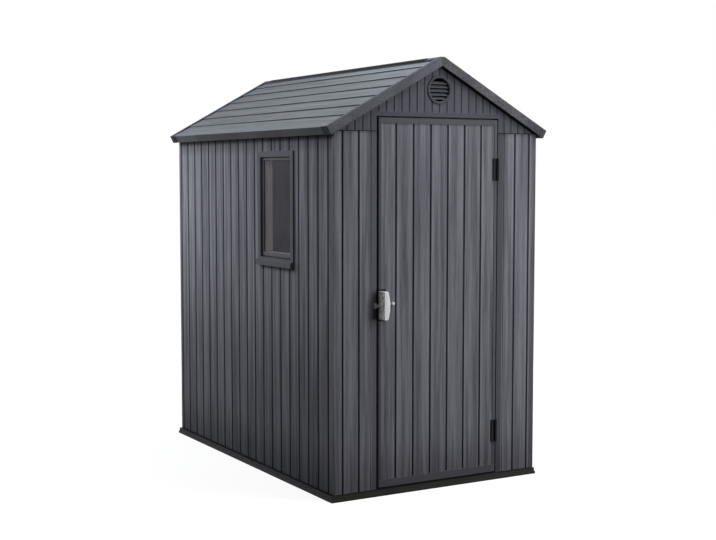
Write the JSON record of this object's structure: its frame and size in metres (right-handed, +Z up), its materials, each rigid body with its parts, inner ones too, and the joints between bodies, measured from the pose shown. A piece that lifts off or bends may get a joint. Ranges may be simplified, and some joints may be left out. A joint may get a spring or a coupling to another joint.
{
  "type": "plastic garden shed",
  "caption": "Moulded plastic garden shed with plank-effect walls, lapped-board apex roof, hinged door, fixed side window and a louvred vent in each gable.",
  "frame": {"origin": "middle of the base, on its flat underside, which is the plane that the shed stands on", "axes": "+Z up; +X to the right as seen from in front of the door; +Y from the door towards the back wall"},
  "size_m": [1.24, 1.909, 2.0596],
  "materials": {
    "wall": "satin resin with a wood-grain surface",
    "roof": "satin resin with a wood-grain surface",
    "trim": "satin resin with a fine grain",
    "base": "matte black resin",
    "black_plastic": "satin black",
    "handle_metal": "satin",
    "pane": "clear polycarbonate",
    "lining": "satin resin, warm grey"
  },
  "bodies": {
    "shell": {"floor_front": "base", "floor_back": "base", "front_wall_left": "wall", "front_wall_right": "wall", "left_wall_front": "wall", "left_wall_back": "wall", "right_wall_front": "wall", "right_wall_back": "wall", "back_wall_left": "wall", "back_wall_right": "wall", "front_gable": "wall", "back_gable": "wall", "front_vent": "wall", "back_vent": "wall", "roof_left": "roof", "roof_right": "roof", "ridge_cap": "trim", "ridge_beam": "black_plastic", "front_barge_left": "trim", "front_barge_right": "trim", "back_barge_left": "trim", "back_barge_right": "trim", "window_casing": "wall", "window_frame": "trim", "window_pane": "pane", "window_lining": "lining", "upper_hinge_frame": "black_plastic", "lower_hinge_frame": "black_plastic", "latch_keeper": "handle_metal"},
    "door": {"door_panel": "wall", "upper_hinge_leaf": "black_plastic", "lower_hinge_leaf": "black_plastic", "handle_plate": "black_plastic", "handle_grip": "handle_metal", "latch_lever": "handle_metal"}
  },
  "joints": [
    {"name": "door_hinge", "type": "hinge", "parent": "shell", "child": "door", "pos_m": [0.334, -0.925, 0.9], "axis": [0, 0, 1], "range_deg": [0, 165]}
  ]
}
